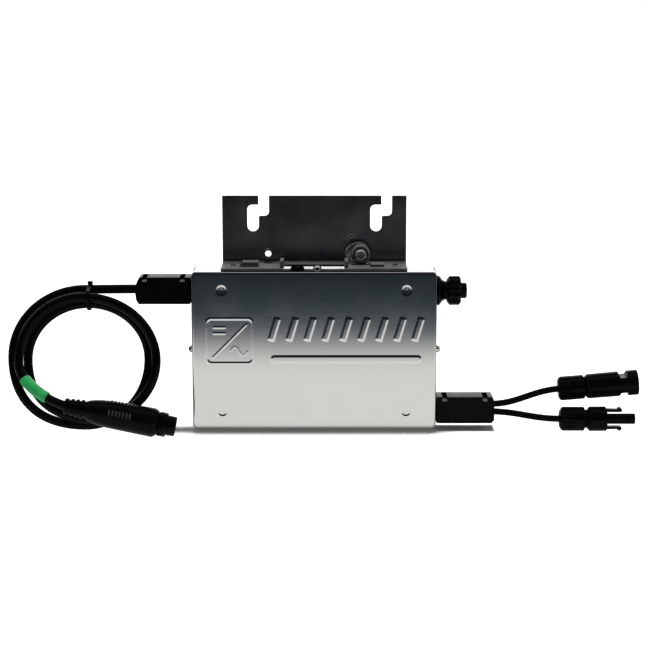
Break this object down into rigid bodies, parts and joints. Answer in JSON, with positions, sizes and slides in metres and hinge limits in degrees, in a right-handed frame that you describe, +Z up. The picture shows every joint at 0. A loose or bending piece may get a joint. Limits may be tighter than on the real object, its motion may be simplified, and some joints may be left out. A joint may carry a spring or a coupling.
{
  "type": "micro inverter",
  "caption": "Micro inverter: flat brushed metal case on a hook-slot bracket, with a coiled AC lead and plug, a capped AC port and DC leads with connectors.",
  "frame": {"origin": "centre of the bracket plate's back face, level with its hook slots", "axes": "+Z up, +X towards the DC leads, +Y out of the bracket's back face towards the rail"},
  "size_m": [0.5278, 0.0761, 0.1921],
  "materials": {
    "brushed_aluminium": "satin brushed",
    "bracket_steel": "dark satin brushed",
    "pan_steel": "satin",
    "bright_steel": "polished",
    "black_plastic": "moulded satin",
    "cable_jacket": "smooth, slightly glossy",
    "seal_rubber": "matt",
    "green_sleeve": "satin",
    "circuit_board": "solder mask",
    "capacitor_sleeve": "shrink sleeve",
    "ferrite": "matt",
    "winding": "enamelled wire",
    "pale_plastic": "moulded",
    "insulation_film": "film",
    "contact_tin": "tinned",
    "fuse_glass": "clear"
  },
  "bodies": {
    "case": {"front_cover": "brushed_aluminium", "back_pan": "pan_steel", "case_seal": "seal_rubber", "mounting_bracket": "bracket_steel", "clinch_nut": "bracket_steel", "ground_rivet": "bracket_steel", "foot_rivet_left": "pan_steel", "foot_rivet_right": "pan_steel", "ground_spacer": "bright_steel", "ground_clip": "bright_steel", "ground_clamp": "bracket_steel", "vent_plug": "black_plastic", "earth_screw": "bright_steel", "side_screw_left": "bright_steel", "side_screw_right": "bright_steel", "ac_gland": "black_plastic", "dc_gland": "black_plastic", "port_housing": "black_plastic", "port_contacts": "contact_tin", "main_board": "circuit_board", "board_carrier": "black_plastic", "insulation_sheet": "insulation_film", "dc_bus_capacitor_1": "capacitor_sleeve", "dc_bus_capacitor_2": "capacitor_sleeve", "dc_bus_capacitor_3": "capacitor_sleeve", "dc_bus_capacitor_4": "capacitor_sleeve", "transformer_core_1": "ferrite", "transformer_core_2": "ferrite", "transformer_winding_1": "winding", "transformer_winding_2": "winding", "heat_spreader": "brushed_aluminium", "thermal_pad": "pale_plastic", "power_transistor_1": "ferrite", "power_transistor_2": "ferrite", "control_chip": "ferrite", "film_capacitor": "pale_plastic", "line_choke": "winding", "fuse": "fuse_glass", "relay": "ferrite", "ac_terminal_block": "pale_plastic", "dc_terminal_block": "pale_plastic"},
    "ground_bolt": {"ground_bolt": "bright_steel"},
    "ac_lead": {"ac_cable": "cable_jacket", "cable_tie": "black_plastic", "cable_marker_sleeve": "green_sleeve", "ac_plug_body": "black_plastic", "ac_plug_contacts": "pale_plastic"},
    "ac_plug_collar": {"ac_plug_collar": "black_plastic"},
    "port_cap": {"port_cap": "black_plastic"},
    "port_nut": {"port_nut": "black_plastic"},
    "dc_pos_lead": {"dc_pos_wire": "cable_jacket", "dc_pos_connector": "black_plastic", "dc_pos_contact": "contact_tin"},
    "dc_pos_nut": {"dc_pos_nut": "black_plastic"},
    "dc_neg_lead": {"dc_neg_wire": "cable_jacket", "dc_neg_connector": "black_plastic", "dc_neg_contact": "contact_tin"},
    "dc_neg_nut": {"dc_neg_nut": "black_plastic"},
    "dc_neg_latch_upper": {"dc_neg_latch_upper": "black_plastic"},
    "dc_neg_latch_lower": {"dc_neg_latch_lower": "black_plastic"}
  },
  "joints": [
    {"name": "ground_bolt_turn", "type": "hinge", "parent": "case", "child": "ground_bolt", "pos_m": [0.0387, -0.013, -0.0225], "axis": [0, -1, 0], "continuous": true},
    {"name": "ac_lead_swing", "type": "hinge", "parent": "case", "child": "ac_lead", "pos_m": [-0.1458, -0.019, -0.0503], "axis": [0, 0, 1], "range_deg": [-12, 8], "stiffness_Nm_per_rad": 0.02},
    {"name": "ac_plug_collar_turn", "type": "hinge", "parent": "ac_lead", "child": "ac_plug_collar", "pos_m": [-0.12812, -0.064, -0.15439], "axis": [0.9816, 0, -0.1908], "range_deg": [0, 45]},
    {"name": "port_cap_pull", "type": "slide", "parent": "case", "child": "port_cap", "axis": [1, 0, 0], "range_m": [0, 0.03]},
    {"name": "port_nut_turn", "type": "hinge", "parent": "port_cap", "child": "port_nut", "pos_m": [0.1101, -0.019, -0.0516], "axis": [1, 0, 0], "continuous": true},
    {"name": "dc_pos_lead_swing", "type": "hinge", "parent": "case", "child": "dc_pos_lead", "pos_m": [0.1486, -0.019, -0.1485], "axis": [0, 0, 1], "range_deg": [-25, 25], "stiffness_Nm_per_rad": 0.02},
    {"name": "dc_pos_nut_turn", "type": "hinge", "parent": "dc_pos_lead", "child": "dc_pos_nut", "pos_m": [0.2047, -0.019, -0.1356], "axis": [0.9962, 0, 0.0872], "continuous": true},
    {"name": "dc_neg_lead_swing", "type": "hinge", "parent": "case", "child": "dc_neg_lead", "pos_m": [0.1486, -0.019, -0.1551], "axis": [0, 0, 1], "range_deg": [-25, 25], "stiffness_Nm_per_rad": 0.02},
    {"name": "dc_neg_nut_turn", "type": "hinge", "parent": "dc_neg_lead", "child": "dc_neg_nut", "pos_m": [0.204, -0.04, -0.1563], "axis": [1, 0, 0], "continuous": true},
    {"name": "dc_neg_latch_upper_press", "type": "hinge", "parent": "dc_neg_lead", "child": "dc_neg_latch_upper", "pos_m": [0.2381, -0.04, -0.1489], "axis": [0, 1, 0], "range_deg": [0, 4], "stiffness_Nm_per_rad": 0.02},
    {"name": "dc_neg_latch_lower_press", "type": "hinge", "parent": "dc_neg_lead", "child": "dc_neg_latch_lower", "pos_m": [0.2381, -0.04, -0.1637], "axis": [0, 1, 0], "range_deg": [-4, 0], "stiffness_Nm_per_rad": 0.02}
  ],
  "couplings": [
    {"joint": "dc_neg_latch_lower_press", "follows": "dc_neg_latch_upper_press", "ratio": -1}
  ]
}
